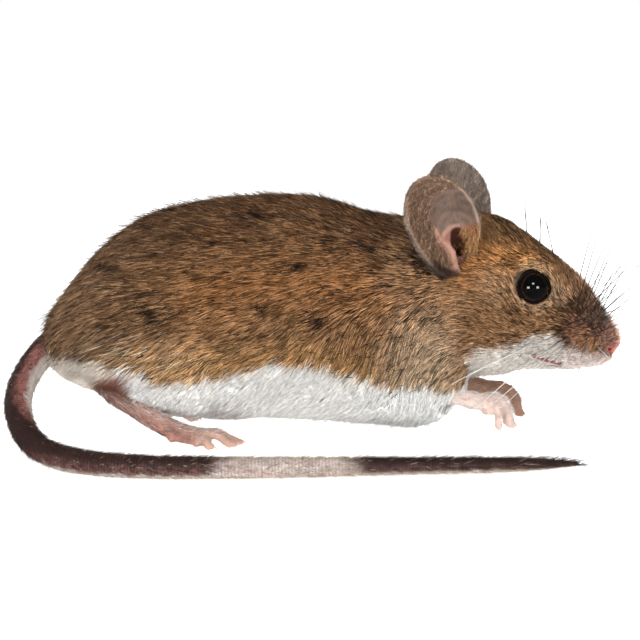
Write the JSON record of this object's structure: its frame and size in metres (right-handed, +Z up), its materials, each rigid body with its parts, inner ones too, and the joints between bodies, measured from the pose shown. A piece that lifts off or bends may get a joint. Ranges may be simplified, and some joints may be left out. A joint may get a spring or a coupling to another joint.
{
  "type": "wood mouse life-size model",
  "caption": "Still life-size model of a crouching wood mouse, a field mouse with large ears and eyes and a long tail laid forward along the floor beside it.",
  "frame": {"origin": "centre of the footprint, on the floor that the mouse rests on", "axes": "+X from the rump towards the snout, +Y towards the animal's left side, +Z up"},
  "size_m": [0.0946, 0.052, 0.0417],
  "materials": {
    "coat": "soft brown fur with black guard hairs, white below",
    "bare_skin": "thin pink skin with sparse pale hairs",
    "ear_skin": "thin grey-brown skin with a fine down",
    "tail_skin": "finely ringed scaly skin, dark above with a pale stretch",
    "eye": "wet gloss, black"
  },
  "bodies": {
    "root": {"trunk": "coat", "neck": "coat", "head": "coat", "lower_jaw": "coat", "nose": "bare_skin", "right_thigh": "coat", "right_shank": "coat", "right_upper_arm": "coat", "right_forearm": "coat", "right_hind_foot": "bare_skin", "right_forefoot": "bare_skin", "right_ear": "ear_skin", "right_eye": "eye", "left_thigh": "coat", "left_shank": "coat", "left_upper_arm": "coat", "left_forearm": "coat", "left_hind_foot": "bare_skin", "left_forefoot": "bare_skin", "left_ear": "ear_skin", "left_eye": "eye", "tail_1": "tail_skin", "tail_2": "tail_skin", "tail_3": "tail_skin", "tail_4": "tail_skin", "tail_5": "tail_skin"}
  },
  "joints": []
}
